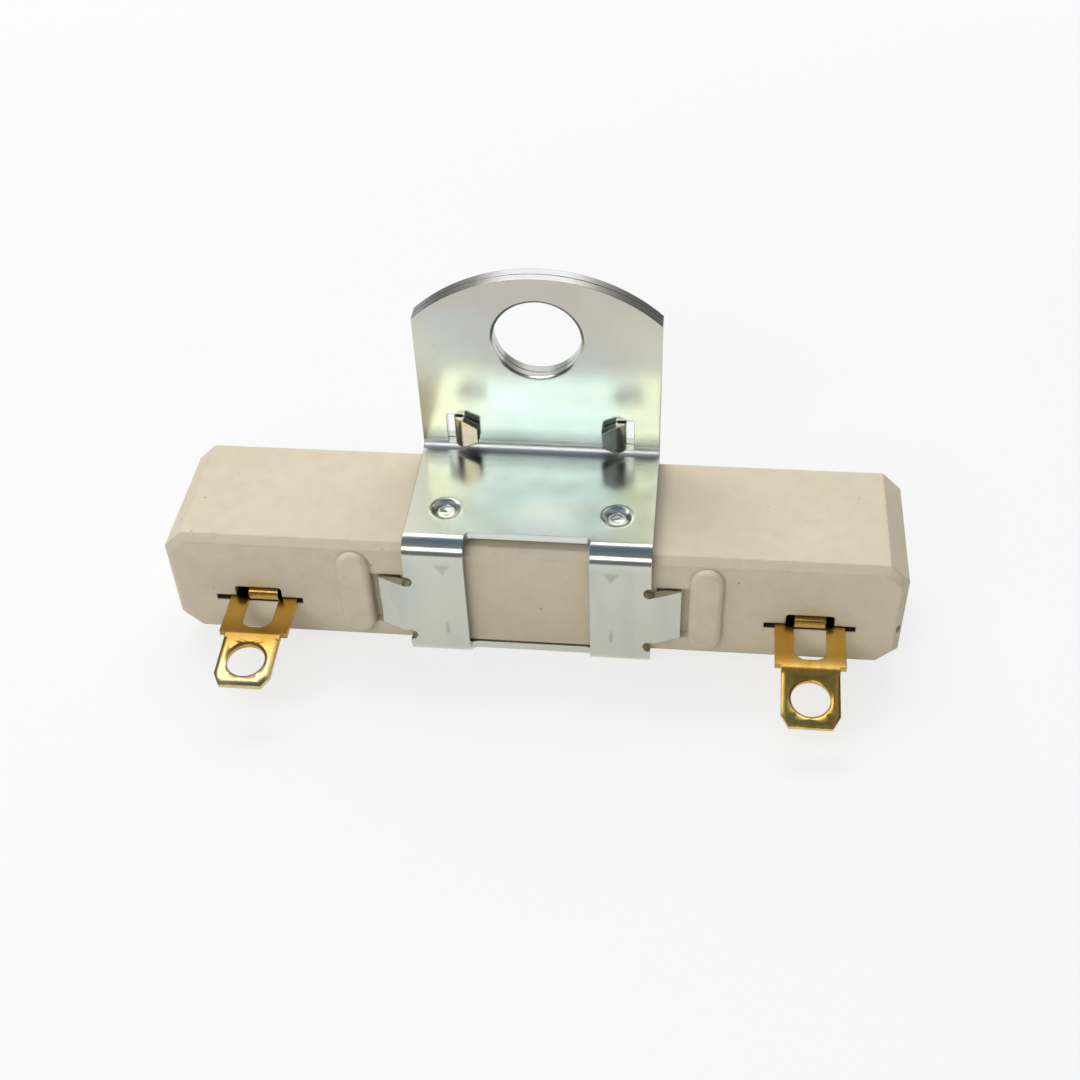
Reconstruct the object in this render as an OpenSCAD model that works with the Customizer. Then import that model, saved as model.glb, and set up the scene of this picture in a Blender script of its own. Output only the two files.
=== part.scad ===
// Ballast resistor: a ceramic block held in a bracket folded from one steel sheet.
// Millimetres, +Z up, the terminals towards -Y. The origin is the centre of the
// mounting hole on the rear face of the bracket. The modules are drawn with
// y = 0 on the block's front face and z = 0 on its underside, then moved there.

/* [Ceramic block] */
// Length of the block, end to end
block_length = 101.6; // [98:0.2:112]
// Depth of the block, front face to back face
block_depth = 20.2; // [19:0.1:24]
// Height of the block
block_height = 18.2; // [17:0.1:22]
// Flat cut off each corner of the end outline
corner_chamfer = 2.7; // [1.5:0.1:3.5]
// Bevel round the front face
front_bevel = 1.0; // [0.4:0.1:1.2]
// Bevel round the back face
back_bevel = 0.5; // [0.2:0.1:0.5]

/* [Ribs and pockets] */
// Distance between the two ribs, middle to middle
rib_spacing = 48.4; // [48:0.2:52]
// Width of a rib
rib_width = 4.6; // [3.6:0.1:5.4]
// Height of a rib above the front face
rib_proud = 1.3; // [1:0.1:2]
// Rounding of a rib's edge
rib_round = 0.9; // [0.4:0.1:1]
// Distance from a rib's upper end to the block's top
rib_upper_margin = 1.2; // [1.1:0.1:3]
// Distance from a rib's lower end to the block's underside
rib_lower_margin = 2.1; // [1.1:0.1:3]
// Depth of the pocket that takes the end of a bracket ear
pocket_depth = 1.1; // [1:0.1:2]
// Free space round an ear in its pocket
pocket_clearance = 0.2; // [0.1:0.1:0.6]

/* [Slits and trough] */
// Distance from an end of the block to the middle of a terminal slit
slit_inset = 12.4; // [11.4:0.1:13.6]
// Height of the slit's middle above the underside
slit_height = 6.9; // [6.4:0.1:7.4]
// Free space over and under a terminal in its slit
slit_clearance = 0.1; // [0.05:0.05:0.3]
// Free space at each side of a terminal in its slit
slit_play = 1.45; // [0.9:0.05:2]
// Width of the notch over a slit
notch_width = 6.6; // [6:0.1:8]
// Height of the notch above the slit
notch_rise = 1.75; // [1.7:0.05:3]
// Depth of the notch
notch_depth = 4.4; // [4:0.1:6]
// Rounding of the notch's upper corners
notch_round = 0.5; // [0.2:0.1:0.8]
// Thickness of the wall between the front face and the trough
front_wall = 7.5; // [6.5:0.1:8]
// Thickness of the walls above and below the trough
trough_wall = 4.4; // [3:0.1:4.7]
// Thickness of the walls at the trough's ends
end_wall = 4.4; // [3:0.1:5]
// Rounding of the trough's corners
trough_round = 1.6; // [0.5:0.1:2.5]

/* [Terminals] */
// Thickness of the brass strip
strip_thickness = 0.8; // [0.6:0.05:0.9]
// Width of the strip at its window
frame_width = 9.5; // [9:0.1:10.5]
// Length of the windowed stretch outside the block
frame_length = 6.6; // [6:0.1:8]
// Width of the window
window_width = 4.4; // [3.6:0.1:5]
// Distance from the bend at the slit to the window's outer end
window_reach = 5.5; // [4.5:0.1:5.6]
// Rounding of the window's outer end
window_round = 1.6; // [0.5:0.1:1.7]
// Free space at each side of the tongue cut out of the window
tongue_clearance = 0.1; // [0.05:0.05:0.3]
// Inner radius of the tongue's fold
tongue_radius = 0.35; // [0.2:0.05:0.4]
// Distance from the front face back to the middle of the tongue's fold
tongue_setback = 0.75; // [0.6:0.05:1.2]
// Length of the tongue behind its fold
tongue_length = 2.6; // [1.5:0.1:2.8]
// Distance from the front face out to the bend at the slit
exit_length = 0.3; // [0.1:0.1:0.8]
// Width of the lug
lug_width = 7.8; // [7.2:0.1:9]
// Length of the lug
lug_length = 8.4; // [8:0.1:11]
// Diameter of the lug's hole
lug_hole = 5.2; // [3.4:0.1:5.6]
// Distance from the lug's root to the middle of its hole
lug_hole_reach = 4.2; // [3.6:0.1:5]
// Width of the corner cut at the lug's end
lug_corner_width = 1; // [0.4:0.1:1.6]
// Length of the corner cut at the lug's end
lug_corner_length = 1.8; // [0.5:0.1:2]
// Width of the edge that the punch rolled down round the lug
lug_roll = 0.6; // [0.3:0.05:0.7]
// Width of the edge that the punch rolled down round the lug's hole
lug_hole_roll = 0.45; // [0.2:0.05:0.6]
// Depth of the rolled edges of the strip
strip_roll_depth = 0.2; // [0.1:0.05:0.3]
// Inner radius of the two slight bends
strip_bend = 2; // [1:0.1:4]
// Downward tilt of the left frame, in degrees
left_frame_tilt = 0.5; // [0.5:0.5:5]
// Downward tilt of the left lug, in degrees
left_lug_tilt = 7; // [6:0.5:20]
// Downward tilt of the right frame, in degrees
right_frame_tilt = 4; // [0.5:0.5:6]
// Downward tilt of the right lug, in degrees
right_lug_tilt = 15; // [7:0.5:20]
// How far the left terminal lies off the middle of its slit
left_shift = 0.7; // [0:0.1:0.7]
// Width of the tail inside the trough
tail_width = 13.6; // [13:0.1:14]
// Distance from the trough's front wall to the tail
tail_clearance = 0.2; // [0.1:0.1:0.5]
// Length of the wide tail
tail_length = 8.4; // [7.5:0.1:9]

/* [Coil] */
// Diameter of the resistance wire
wire_diameter = 0.9; // [0.5:0.1:1]
// Diameter of the coil at the middle of the wire
coil_diameter = 6.3; // [5:0.1:6.6]
// Number of turns
coil_turns = 22; // [12:1:22]
// Distance from the middle of a slit to the end of the coil
coil_inset = 9.8; // [9.6:0.1:16]
// Distance from the block's front face to the coil's middle
coil_setback = 13; // [12:0.1:13.5]
// Radius of the bend from the coil into a lead
lead_bend = 1.5; // [1:0.1:2]
// Length of the straight lead under a terminal tail
lead_length = 8; // [6:0.1:9]
// Weld gap between a lead and its tail
weld_gap = 0.05; // [0.02:0.01:0.1]

/* [Bracket sheet] */
// Thickness of the steel sheet
sheet = 1.2; // [0.9:0.1:1.3]
// Width of the folded strap
strap_width = 33.6; // [32:0.2:34]
// Gap between the block's front face and the legs
front_gap = 0.6; // [0.5:0.1:0.9]
// Gap between the block's top and the top plate
top_gap = 0.8; // [0.6:0.1:1.2]
// Gap between the block's back face and the back wall
back_gap = 0.5; // [0.5:0.1:1]
// Inner radius of the two bends at the front
front_bend = 1.6; // [1:0.1:1.6]
// Inner radius of the bend at the lower back
back_bend = 1; // [0.6:0.1:1]
// Inner radius of the fold behind the top plate
plate_fold = 1.2; // [0.4:0.1:1.4]
// Gap between the two layers of the mounting plate
layer_gap = 0.15; // [0.1:0.05:0.3]
// Radius of the curve in every edge that a punch rolled down
roll_radius = 1.8; // [1.2:0.1:3]

/* [Bracket plate] */
// Height of the mounting hole above the top plate
hole_rise = 18.8; // [18:0.1:20]
// Diameter of the mounting hole
hole_diameter = 12; // [8:0.1:13]
// Width of the rolled edge at the front of the mounting hole
hole_roll = 0.5; // [0.2:0.05:0.7]
// Depth of the rolled edge at the front of the mounting hole
hole_roll_depth = 0.3; // [0.1:0.05:0.4]
// Height of the rounded upper edge above the top plate
plate_rise = 28.6; // [28:0.1:32]
// Radius of the rounded upper edge
plate_arc = 24.2; // [20:0.2:40]
// Distance between the two dimples, middle to middle
dimple_spacing = 23.4; // [22:0.1:25]
// Distance from the block's front face to the dimples
dimple_setback = 6.1; // [5:0.1:10]
// Diameter of a dimple at the top plate
dimple_diameter = 4.1; // [3.6:0.1:5]
// Free space between a dimple and the block
dimple_clearance = 0.04; // [0.02:0.01:0.1]
// Width of the soft rim round a dimple
dimple_roll = 0.5; // [0.3:0.05:0.7]
// Depth of the soft rim round a dimple
dimple_roll_depth = 0.12; // [0.06:0.02:0.2]

/* [Bracket legs] */
// Width of the opening between the legs
opening_width = 17; // [12:0.1:17.4]
// Distance from the legs' front back to the opening's upper edge
opening_upper = 3.4; // [3:0.1:4]
// Distance from the legs' front back to the opening's lower edge
opening_lower = 2.2; // [2:0.1:3]
// Rounding of the opening's corners
opening_round = 0.8; // [0.3:0.1:1]
// Height of an ear's lower edge above the block's underside
ear_base = 3.8; // [3.6:0.1:4.4]
// Height of an ear
ear_height = 9; // [7:0.1:9.4]
// Length of an ear's flat stretch
ear_length = 3.6; // [3:0.1:3.8]
// Angle at which an ear is bent back, in degrees
ear_tilt = 22; // [19:1:24]
// Inner radius of the ear's bend
ear_bend = 0.8; // [0.5:0.1:1]
// Diameter of the relief hole at each end of the ear's bend
relief_diameter = 1.8; // [1.4:0.1:2]
// Distance from the strap's edge in to the middle of a relief hole
relief_inset = 0.15; // [0.1:0.05:0.4]
// Distance from an ear's edge to the middle of a relief hole
relief_reach = 0.7; // [0.4:0.1:0.8]

/* [Clinched tabs] */
// Distance from the strap's middle to the hinge of a tab
tab_hinge = 10.65; // [10:0.05:11]
// Distance from the strap's middle to the tip of a tab
tab_tip = 8.55; // [8:0.05:9]
// Height of a tab at its root
tab_root_height = 4.6; // [4:0.1:5]
// Height of a tab at its tip
tab_tip_height = 2.3; // [1.5:0.1:3]
// Inner radius of the tab's bends
tab_bend = 0.3; // [0.2:0.05:0.4]
// Gap between a folded tab and the plate
tab_lift = 0.1; // [0.1:0.05:0.4]
// Angle by which the left tab springs back from the plate, in degrees
left_tab_spring = 6; // [0:2:8]
// Angle by which the right tab springs back from the plate, in degrees
right_tab_spring = 8; // [0:2:8]
// Height of a slot's lower end above the top plate
slot_rise = 0.75; // [0.7:0.05:1.5]
// Free space above and below a tab in its slot
slot_end_clearance = 0.25; // [0.1:0.05:0.4]
// Free space between a tab and the inner edge of its slot
slot_inner_clearance = 0.1; // [0.05:0.05:0.15]
// Open width of a slot outside its tab
slot_open = 1.05; // [0.6:0.05:1.6]

/* [Hidden] */
$fn = 96;
// Length by which a cutting shape runs past what it cuts
over = 1;
// Depth by which a rib runs into the block
rib_root = 1;
// Facets round the wire, and steps in one turn of the coil and in a lead's bend
wire_sides = 8;
turn_steps = 14;
bend_steps = 4;

slit_middle = block_length / 2 - slit_inset;
slit_gap = strip_thickness + 2 * slit_clearance;
slit_width = frame_width + 2 * slit_play;
strip_base = slit_height - strip_thickness / 2;
notch_top = slit_height + slit_gap / 2 + notch_rise;
trough_length = block_length - 2 * end_wall;
trough_height = block_height - 2 * trough_wall;
tail_start = front_wall + tail_clearance;
tongue_width = window_width - 2 * tongue_clearance;

wire_radius = wire_diameter / 2;
coil_radius = coil_diameter / 2;
coil_low = strip_base - weld_gap - wire_radius;
coil_height = coil_low + coil_radius;
coil_end = slit_middle - coil_inset;
coil_pitch = 2 * coil_end / coil_turns;

leg_back = -front_gap;
leg_front = leg_back - sheet;
top_low = block_height + top_gap;
top_high = top_low + sheet;
rear_front = block_depth + back_gap;
rear_back = rear_front + sheet;
layer_back = rear_front - layer_gap;
layer_front = layer_back - sheet;
layer_middle = rear_front - layer_gap / 2;
hole_height = top_high + hole_rise;
plate_top = top_high + plate_rise;
dimple_depth = top_gap - dimple_clearance;
dimple_radius = (pow(dimple_diameter / 2, 2) + pow(dimple_depth, 2)) / (2 * dimple_depth);
dimple_fall = dimple_radius - dimple_depth + dimple_roll_depth;
dimple_rim = sqrt(pow(dimple_radius, 2) - pow(dimple_fall, 2));
ear_top = ear_base + ear_height;
ear_turn = ear_bend + sheet;
pocket_start = strap_width / 2 + ear_turn * sin(ear_tilt);
rib_inner = (rib_spacing - rib_width) / 2;
slot_height = tab_root_height + 2 * slot_end_clearance;
slot_low = top_high + slot_rise;
slot_middle = slot_low + slot_height / 2;
slot_start = tab_hinge + tab_bend - slot_inner_clearance;
slot_end = tab_hinge + tab_bend + sheet + slot_open;
tab_turn = layer_front - tab_lift + tab_bend;

ceramic_body();
mounting_bracket();
left_terminal();
right_terminal();
resistance_coil();

// Moves a piece so that the mounting hole's rear centre is the origin
module placed() {
    translate([0, -rear_back, -hole_height])
        children();
}

// Draws a shape and its mirror image across the middle plane
module both_sides() {
    children();
    mirror([1, 0, 0])
        children();
}

// Stands a plan of (sideways, height) upright and gives it depth from y_from to y_to
module upright(y_from, y_to) {
    translate([0, y_to, 0])
        rotate([90, 0, 0])
            linear_extrude(height = y_to - y_from)
                children();
}

// Part of a flat ring between two angles that are at most a quarter turn apart
module ring_part(inner, outer, start, end) {
    far = 2 * outer;
    middle = (start + end) / 2;
    intersection() {
        difference() {
            circle(r = outer);
            circle(r = inner);
        }
        polygon([
            [0, 0],
            [far * cos(start), far * sin(start)],
            [far * cos(middle), far * sin(middle)],
            [far * cos(end), far * sin(end)]
        ]);
    }
}

// Rectangle standing on the x axis with its two upper corners rounded
module round_topped(width, height, corner) {
    translate([-width / 2, 0])
        square([width, height - corner]);
    translate([corner - width / 2, 0])
        square([width - 2 * corner, height]);
    for (side = [-1, 1])
        translate([side * (width / 2 - corner), height - corner])
            circle(r = corner);
}

// Rectangle about the origin with four rounded corners
module rounded(width, height, corner) {
    square([width - 2 * corner, height], center = true);
    square([width, height - 2 * corner], center = true);
    for (side = [-1, 1], level = [-1, 1])
        translate([side * (width / 2 - corner), level * (height / 2 - corner)])
            circle(r = corner);
}

// Section of what a punch rolled away: the edge at the origin, the sheet towards -x and -y
module roll_section(width, depth) {
    chord = norm([width, depth]);
    sink = sqrt(pow(roll_radius, 2) - pow(chord / 2, 2)) / chord;
    middle_x = -width / 2 - depth * sink;
    middle_y = -depth / 2 - width * sink;
    difference() {
        translate([middle_x, -depth - over / 2])
            square([over - middle_x, depth + 3 * over / 2]);
        translate([middle_x, middle_y])
            circle(r = roll_radius);
    }
}

// Cutting ring for the rolled edge of a round hole in a sheet whose face is at z = 0
module hole_roll_ring(radius, width, depth) {
    rotate_extrude()
        translate([radius, 0])
            mirror([1, 0])
                roll_section(width, depth);
}

// Slab between two flat sides, with a bevel to the front and to the back face
module bevelled_slab(half_width) {
    linear_extrude(height = 2 * block_length, center = true)
        polygon([
            [front_bevel - half_width, 0],
            [half_width - front_bevel, 0],
            [half_width, front_bevel],
            [half_width, block_depth - back_bevel],
            [half_width - back_bevel, block_depth],
            [back_bevel - half_width, block_depth],
            [-half_width, block_depth - back_bevel],
            [-half_width, front_bevel]
        ]);
}

// Block with its corners cut and its faces bevelled, about its long middle line
module bare_block() {
    corner_reach = (block_length / 2 + block_height / 2 - corner_chamfer) / sqrt(2);
    intersection() {
        bevelled_slab(block_length / 2);
        rotate([0, 90, 0])
            bevelled_slab(block_height / 2);
        rotate([0, 45, 0])
            bevelled_slab(corner_reach);
        rotate([0, -45, 0])
            bevelled_slab(corner_reach);
    }
}

// Half of a rib's section: outwards from its middle, and up from the block's face
module rib_half() {
    half = rib_width / 2;
    translate([0, -rib_root])
        square([half, rib_root + rib_proud - rib_round]);
    translate([0, -rib_root])
        square([half - rib_round, rib_root + rib_proud]);
    translate([half - rib_round, rib_proud - rib_round])
        circle(r = rib_round);
}

// Upright rib with rounded ends and edges, on the front face
module rib() {
    straight = block_height - rib_upper_margin - rib_lower_margin - rib_width;
    translate([0, 0, rib_lower_margin + (rib_width + straight) / 2]) {
        linear_extrude(height = straight, center = true)
            mirror([0, 1])
                both_sides()
                    rib_half();
        for (level = [0, 1])
            mirror([0, 0, level])
                translate([0, 0, straight / 2])
                    rotate([90, 0, 0])
                        rotate_extrude(angle = 180)
                            rib_half();
    }
}

// Slit with its notch, about the middle of the slit's mouth
module slit() {
    translate([-slit_width / 2, -over, slit_height - slit_gap / 2])
        cube([slit_width, front_wall + 2 * over, slit_gap]);
    translate([0, 0, slit_height])
        upright(-over, notch_depth)
            round_topped(notch_width, notch_top - slit_height, notch_round);
}

// Shallow pocket between a rib and the leg, behind the end of an ear
module ear_pocket() {
    translate([pocket_start, -over, ear_base - pocket_clearance])
        cube([rib_inner - pocket_start, pocket_depth + over, ear_height + 2 * pocket_clearance]);
}

module ceramic_body() {
    color([0.88, 0.84, 0.75])
        placed()
            difference() {
                union() {
                    translate([0, 0, block_height / 2])
                        bare_block();
                    for (side = [-1, 1])
                        translate([side * rib_spacing / 2, 0, 0])
                            rib();
                }
                for (side = [-1, 1])
                    translate([side * slit_middle, 0, 0])
                        slit();
                both_sides()
                    ear_pocket();
                translate([0, 0, block_height / 2])
                    upright(front_wall, block_depth + over)
                        rounded(trough_length, trough_height, trough_round);
            }
}

// Side view of the folded strap as (depth, height)
module strap_side() {
    front_turn = front_bend + sheet;
    back_turn = back_bend + sheet;
    fold_middle = layer_front - plate_fold;
    front_middle = leg_front + front_turn;
    back_middle = rear_back - back_turn;
    translate([layer_front, top_high + plate_fold])
        square([sheet, plate_rise - plate_fold + over]);
    translate([fold_middle, top_high + plate_fold])
        ring_part(plate_fold, plate_fold + sheet, -90, 0);
    translate([front_middle, top_low])
        square([fold_middle - front_middle, sheet]);
    translate([front_middle, top_high - front_turn])
        ring_part(front_bend, front_turn, 90, 180);
    translate([leg_front, front_bend])
        square([sheet, top_high - front_turn - front_bend]);
    translate([front_middle, front_bend])
        ring_part(front_bend, front_turn, 180, 270);
    translate([front_middle, -sheet])
        square([back_middle - front_middle, sheet]);
    translate([back_middle, back_bend])
        ring_part(back_bend, back_turn, 270, 360);
    translate([rear_front, back_bend])
        square([sheet, plate_top - back_bend + over]);
}

// Front view of the strap: straight sides under a rounded upper edge
module strap_front() {
    arc_middle = plate_top - plate_arc;
    intersection() {
        translate([-strap_width / 2, -sheet - over])
            square([strap_width, plate_top + sheet + 2 * over]);
        union() {
            translate([-plate_arc, -sheet - 2 * over])
                square([2 * plate_arc, arc_middle + sheet + 2 * over]);
            translate([0, arc_middle])
                circle(r = plate_arc);
        }
    }
}

// Cutting shape for the opening between the legs
module leg_opening() {
    middle = block_height / 2;
    translate([0, leg_front - over, middle - over])
        linear_extrude(height = top_high + 2 * over - middle)
            round_topped(opening_width, opening_upper + over, opening_round);
    translate([0, leg_front - over, -sheet - over])
        linear_extrude(height = middle + sheet + 2 * over)
            round_topped(opening_width, opening_lower + over, opening_round);
}

// Ear at the right leg, bent back from the strap's edge
module ear() {
    translate([strap_width / 2, leg_back + ear_bend, ear_base])
        linear_extrude(height = ear_height) {
            ring_part(ear_bend, ear_turn, -90, ear_tilt - 90);
            rotate(ear_tilt)
                translate([0, -ear_turn])
                    square([ear_length, sheet]);
        }
}

// Relief holes above and below the bend of the right ear
module ear_reliefs() {
    for (level = [ear_base - relief_reach, ear_top + relief_reach])
        translate([strap_width / 2 - relief_inset, leg_front - over, level])
            rotate([-90, 0, 0])
                cylinder(d = relief_diameter, h = sheet + front_gap + over);
}

// Plan view of a tab on the right, from its hinge on the rear layer to its tip
module tab_plan(spring) {
    hinge_middle = rear_front - tab_bend;
    translate([tab_hinge, hinge_middle])
        ring_part(tab_bend, tab_bend + sheet, 0, 90);
    translate([tab_hinge + tab_bend, tab_turn])
        square([sheet, hinge_middle - tab_turn]);
    translate([tab_hinge, tab_turn]) {
        ring_part(tab_bend, tab_bend + sheet, spring - 90, 0);
        rotate(spring)
            translate([tab_tip - tab_hinge, -tab_bend - sheet])
                square([tab_hinge - tab_tip, sheet]);
    }
}

// Tab on the right, tapered towards its tip
module tab(spring) {
    far = slot_end;
    root = tab_root_height / 2;
    tip = tab_tip_height / 2;
    translate([0, 0, slot_middle])
        intersection() {
            linear_extrude(height = tab_root_height, center = true)
                tab_plan(spring);
            upright(tab_turn - tab_bend - sheet - over, rear_back + over)
                polygon([
                    [tab_tip, -tip],
                    [tab_hinge, -root],
                    [far, -root],
                    [far, root],
                    [tab_hinge, root],
                    [tab_tip, tip]
                ]);
        }
}

// Cutting shapes for the right slot and for the gap that the tab leaves in the rear layer
module tab_cuts() {
    translate([slot_start, layer_front - over, slot_low])
        cube([slot_end - slot_start, layer_middle - layer_front + over, slot_height]);
    translate([tab_hinge, layer_middle, slot_low])
        cube([strap_width / 2 - tab_hinge + over, rear_back - layer_middle + over, slot_height]);
}

// Ball that shapes the right dimple, grown by the given thickness
module dimple_ball(grown) {
    translate([dimple_spacing / 2, dimple_setback, top_high - dimple_depth + dimple_radius])
        sphere(r = dimple_radius + grown);
}

// Bulge that the right dimple makes under the top plate
module dimple_bulge() {
    reach = dimple_diameter;
    intersection() {
        dimple_ball(sheet);
        translate([dimple_spacing / 2 - reach, dimple_setback - reach, block_height])
            cube([2 * reach, 2 * reach, top_gap + sheet / 2]);
    }
}

module mounting_bracket() {
    color([0.72, 0.74, 0.73])
        placed() {
            difference() {
                union() {
                    intersection() {
                        rotate([90, 0, 90])
                            linear_extrude(height = strap_width, center = true)
                                strap_side();
                        upright(leg_front - over, rear_back + over)
                            strap_front();
                    }
                    both_sides() {
                        ear();
                        dimple_bulge();
                    }
                }
                translate([0, layer_middle, hole_height])
                    rotate([90, 0, 0])
                        cylinder(d = hole_diameter, h = 4 * sheet, center = true);
                translate([0, layer_front, hole_height])
                    rotate([90, 0, 0])
                        hole_roll_ring(hole_diameter / 2, hole_roll, hole_roll_depth);
                leg_opening();
                both_sides() {
                    tab_cuts();
                    ear_reliefs();
                    dimple_ball(0);
                    translate([dimple_spacing / 2, dimple_setback, top_high])
                        hole_roll_ring(dimple_rim, dimple_roll, dimple_roll_depth);
                }
            }
            tab(right_tab_spring);
            mirror([1, 0, 0])
                tab(left_tab_spring);
        }
}

// Slight downward bend of the strip, carrying on with what lies beyond it
module strip_turn(width, angle) {
    rotate([90, 0, -90])
        linear_extrude(height = width, center = true)
            translate([0, -strip_bend])
                ring_part(strip_bend, strip_bend + strip_thickness, 90 - angle, 90);
    translate([0, 0, -strip_bend])
        rotate([angle, 0, 0])
            translate([0, 0, strip_bend])
                children();
}

// Flat piece of the strip, its plan drawn as (sideways, outwards)
module strip_plate() {
    mirror([0, 1, 0])
        linear_extrude(height = strip_thickness)
            children();
}

// Plan of the windowed frame from the bend at the slit out to the lug
module frame_plan() {
    difference() {
        translate([-frame_width / 2, 0])
            square([frame_width, frame_length]);
        translate([0, -over])
            round_topped(window_width, window_reach + over, window_round);
    }
}

// Corners of the lug's plan, from its root round its end and back
function lug_outline() =
    let (half = lug_width / 2)
    [
        [-half, 0],
        [-half, lug_length - lug_corner_length],
        [lug_corner_width - half, lug_length],
        [half - lug_corner_width, lug_length],
        [half, lug_length - lug_corner_length],
        [half, 0]
    ];

// Cutting bar for the rolled edge of the strip between two corners of a plan,
// running past them by the lengths given
module edge_roll(start, end, before, after) {
    run = end - start;
    translate([start[0], start[1], strip_thickness])
        rotate(atan2(run[1], run[0]))
            translate([-before, 0, 0])
                rotate([90, 0, 90])
                    linear_extrude(height = norm(run) + before + after)
                        roll_section(lug_roll, strip_roll_depth);
}

// Lug with its hole and cut corners, its upper edges rolled down
module lug() {
    outline = lug_outline();
    last = len(outline) - 2;
    past = 2 * over;
    mirror([0, 1, 0])
        difference() {
            linear_extrude(height = strip_thickness)
                difference() {
                    polygon(outline);
                    translate([0, lug_hole_reach])
                        circle(d = lug_hole);
                }
            for (i = [0 : last])
                edge_roll(outline[i], outline[i + 1], i > 0 ? past : -lug_roll, i < last ? past : -lug_roll);
            translate([0, lug_hole_reach, strip_thickness])
                hole_roll_ring(lug_hole / 2, lug_hole_roll, strip_roll_depth);
        }
}

// Plan of the stretch in the slit and of the wide tail, with y to the back
module tail_plan() {
    rail = (frame_width - window_width) / 2;
    translate([-frame_width / 2, tongue_setback])
        square([frame_width, tail_start - tongue_setback]);
    translate([-tail_width / 2, tail_start])
        square([tail_width, tail_length]);
    for (side = [-1, 1])
        translate([side * (window_width + rail) / 2 - rail / 2, -exit_length])
            square([rail, exit_length + tongue_setback]);
}

// Tongue folded up and back into the notch
module tongue() {
    outer = tongue_radius + strip_thickness;
    rotate([90, 0, 90])
        linear_extrude(height = tongue_width, center = true)
            translate([tongue_setback, outer]) {
                ring_part(tongue_radius, outer, 90, 180);
                ring_part(tongue_radius, outer, 180, 270);
                translate([0, tongue_radius])
                    square([tongue_length, strip_thickness]);
            }
}

// Whole terminal, with the underside of its strip at z = 0 in the slit
module terminal(frame_tilt, lug_tilt) {
    linear_extrude(height = strip_thickness)
        tail_plan();
    tongue();
    translate([0, -exit_length, 0])
        difference() {
            strip_turn(frame_width, frame_tilt) {
                strip_plate()
                    frame_plan();
                translate([0, -frame_length, 0])
                    strip_turn(lug_width, lug_tilt - frame_tilt)
                        lug();
            }
            translate([-window_width / 2, -window_reach / 2, -over])
                cube([window_width, window_reach / 2 + over, strip_thickness + 2 * over]);
        }
}

module left_terminal() {
    color([0.80, 0.64, 0.30])
        placed()
            translate([left_shift - slit_middle, 0, strip_base])
                terminal(left_frame_tilt, left_lug_tilt);
}

module right_terminal() {
    color([0.80, 0.64, 0.30])
        placed()
            translate([slit_middle, 0, strip_base])
                terminal(right_frame_tilt, right_lug_tilt);
}

// Middle line of the wire, each point with the direction away from the coil's axis
function lead_path(side) = [
    for (i = [0 : bend_steps])
        let (turn = 90 * i / bend_steps)
            [[
                side * (coil_end + lead_bend - lead_bend * sin(turn)),
                coil_setback + side * lead_bend * cos(turn),
                coil_low
            ], [0, 0, -1]]
];
function lead_tip(side) = [[
    side * (coil_end + lead_bend + lead_length),
    coil_setback + side * lead_bend,
    coil_low
], [0, 0, -1]];
function coil_path() = [
    for (i = [1 : coil_turns * turn_steps - 1])
        let (turn = 360 * i / turn_steps)
            [[
                coil_pitch * i / turn_steps - coil_end,
                coil_setback + coil_radius * sin(turn),
                coil_height - coil_radius * cos(turn)
            ], [0, sin(turn), -cos(turn)]]
];
function reversed(list) = [for (i = [len(list) - 1 : -1 : 0]) list[i]];
function unit(v) = v / norm(v);

// Ring of points round the wire at step i of its path
function wire_ring(path, i) =
    let (
        ahead = path[min(i + 1, len(path) - 1)][0],
        behind = path[max(i - 1, 0)][0],
        along = unit(ahead - behind),
        across = unit(cross(along, path[i][1])),
        outward = cross(across, along)
    )
    [
        for (k = [0 : wire_sides - 1])
            let (turn = 360 * k / wire_sides)
                path[i][0] + wire_radius * (cos(turn) * outward + sin(turn) * across)
    ];

module resistance_coil() {
    path = concat(
        [lead_tip(-1)],
        lead_path(-1),
        coil_path(),
        reversed(lead_path(1)),
        [lead_tip(1)]
    );
    last = len(path) - 1;
    points = [for (i = [0 : last]) each wire_ring(path, i)];
    walls = [
        for (i = [0 : last - 1], k = [0 : wire_sides - 1])
            let (
                low = i * wire_sides,
                next = (k + 1) % wire_sides
            )
            each [
                [low + next, low + k, low + wire_sides + k],
                [low + wire_sides + next, low + next, low + wire_sides + k]
            ]
    ];
    start_cap = [for (k = [0 : wire_sides - 1]) k];
    end_cap = [for (k = [wire_sides - 1 : -1 : 0]) last * wire_sides + k];
    color([0.45, 0.42, 0.40])
        placed()
            polyhedron(points = points, faces = concat([start_cap], walls, [end_cap]), convexity = 10);
}
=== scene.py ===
import math

import bmesh
import bpy
from mathutils import Matrix, Vector


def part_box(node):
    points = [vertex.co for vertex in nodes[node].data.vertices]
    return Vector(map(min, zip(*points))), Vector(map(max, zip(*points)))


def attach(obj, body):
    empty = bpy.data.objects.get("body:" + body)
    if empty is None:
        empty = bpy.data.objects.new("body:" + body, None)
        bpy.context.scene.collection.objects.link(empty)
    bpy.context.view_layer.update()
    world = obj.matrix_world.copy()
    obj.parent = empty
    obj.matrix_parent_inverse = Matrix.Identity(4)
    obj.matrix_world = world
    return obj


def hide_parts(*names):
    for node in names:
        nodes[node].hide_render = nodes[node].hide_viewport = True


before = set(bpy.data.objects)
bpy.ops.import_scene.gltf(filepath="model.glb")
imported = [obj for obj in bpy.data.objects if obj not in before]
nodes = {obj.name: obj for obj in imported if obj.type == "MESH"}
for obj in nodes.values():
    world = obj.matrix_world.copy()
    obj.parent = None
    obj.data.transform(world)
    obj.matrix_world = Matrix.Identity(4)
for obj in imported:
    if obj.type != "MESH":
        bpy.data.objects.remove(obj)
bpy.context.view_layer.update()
scene = bpy.context.scene

MM = 0.001
FALL = (1.0, 0.0)

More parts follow.
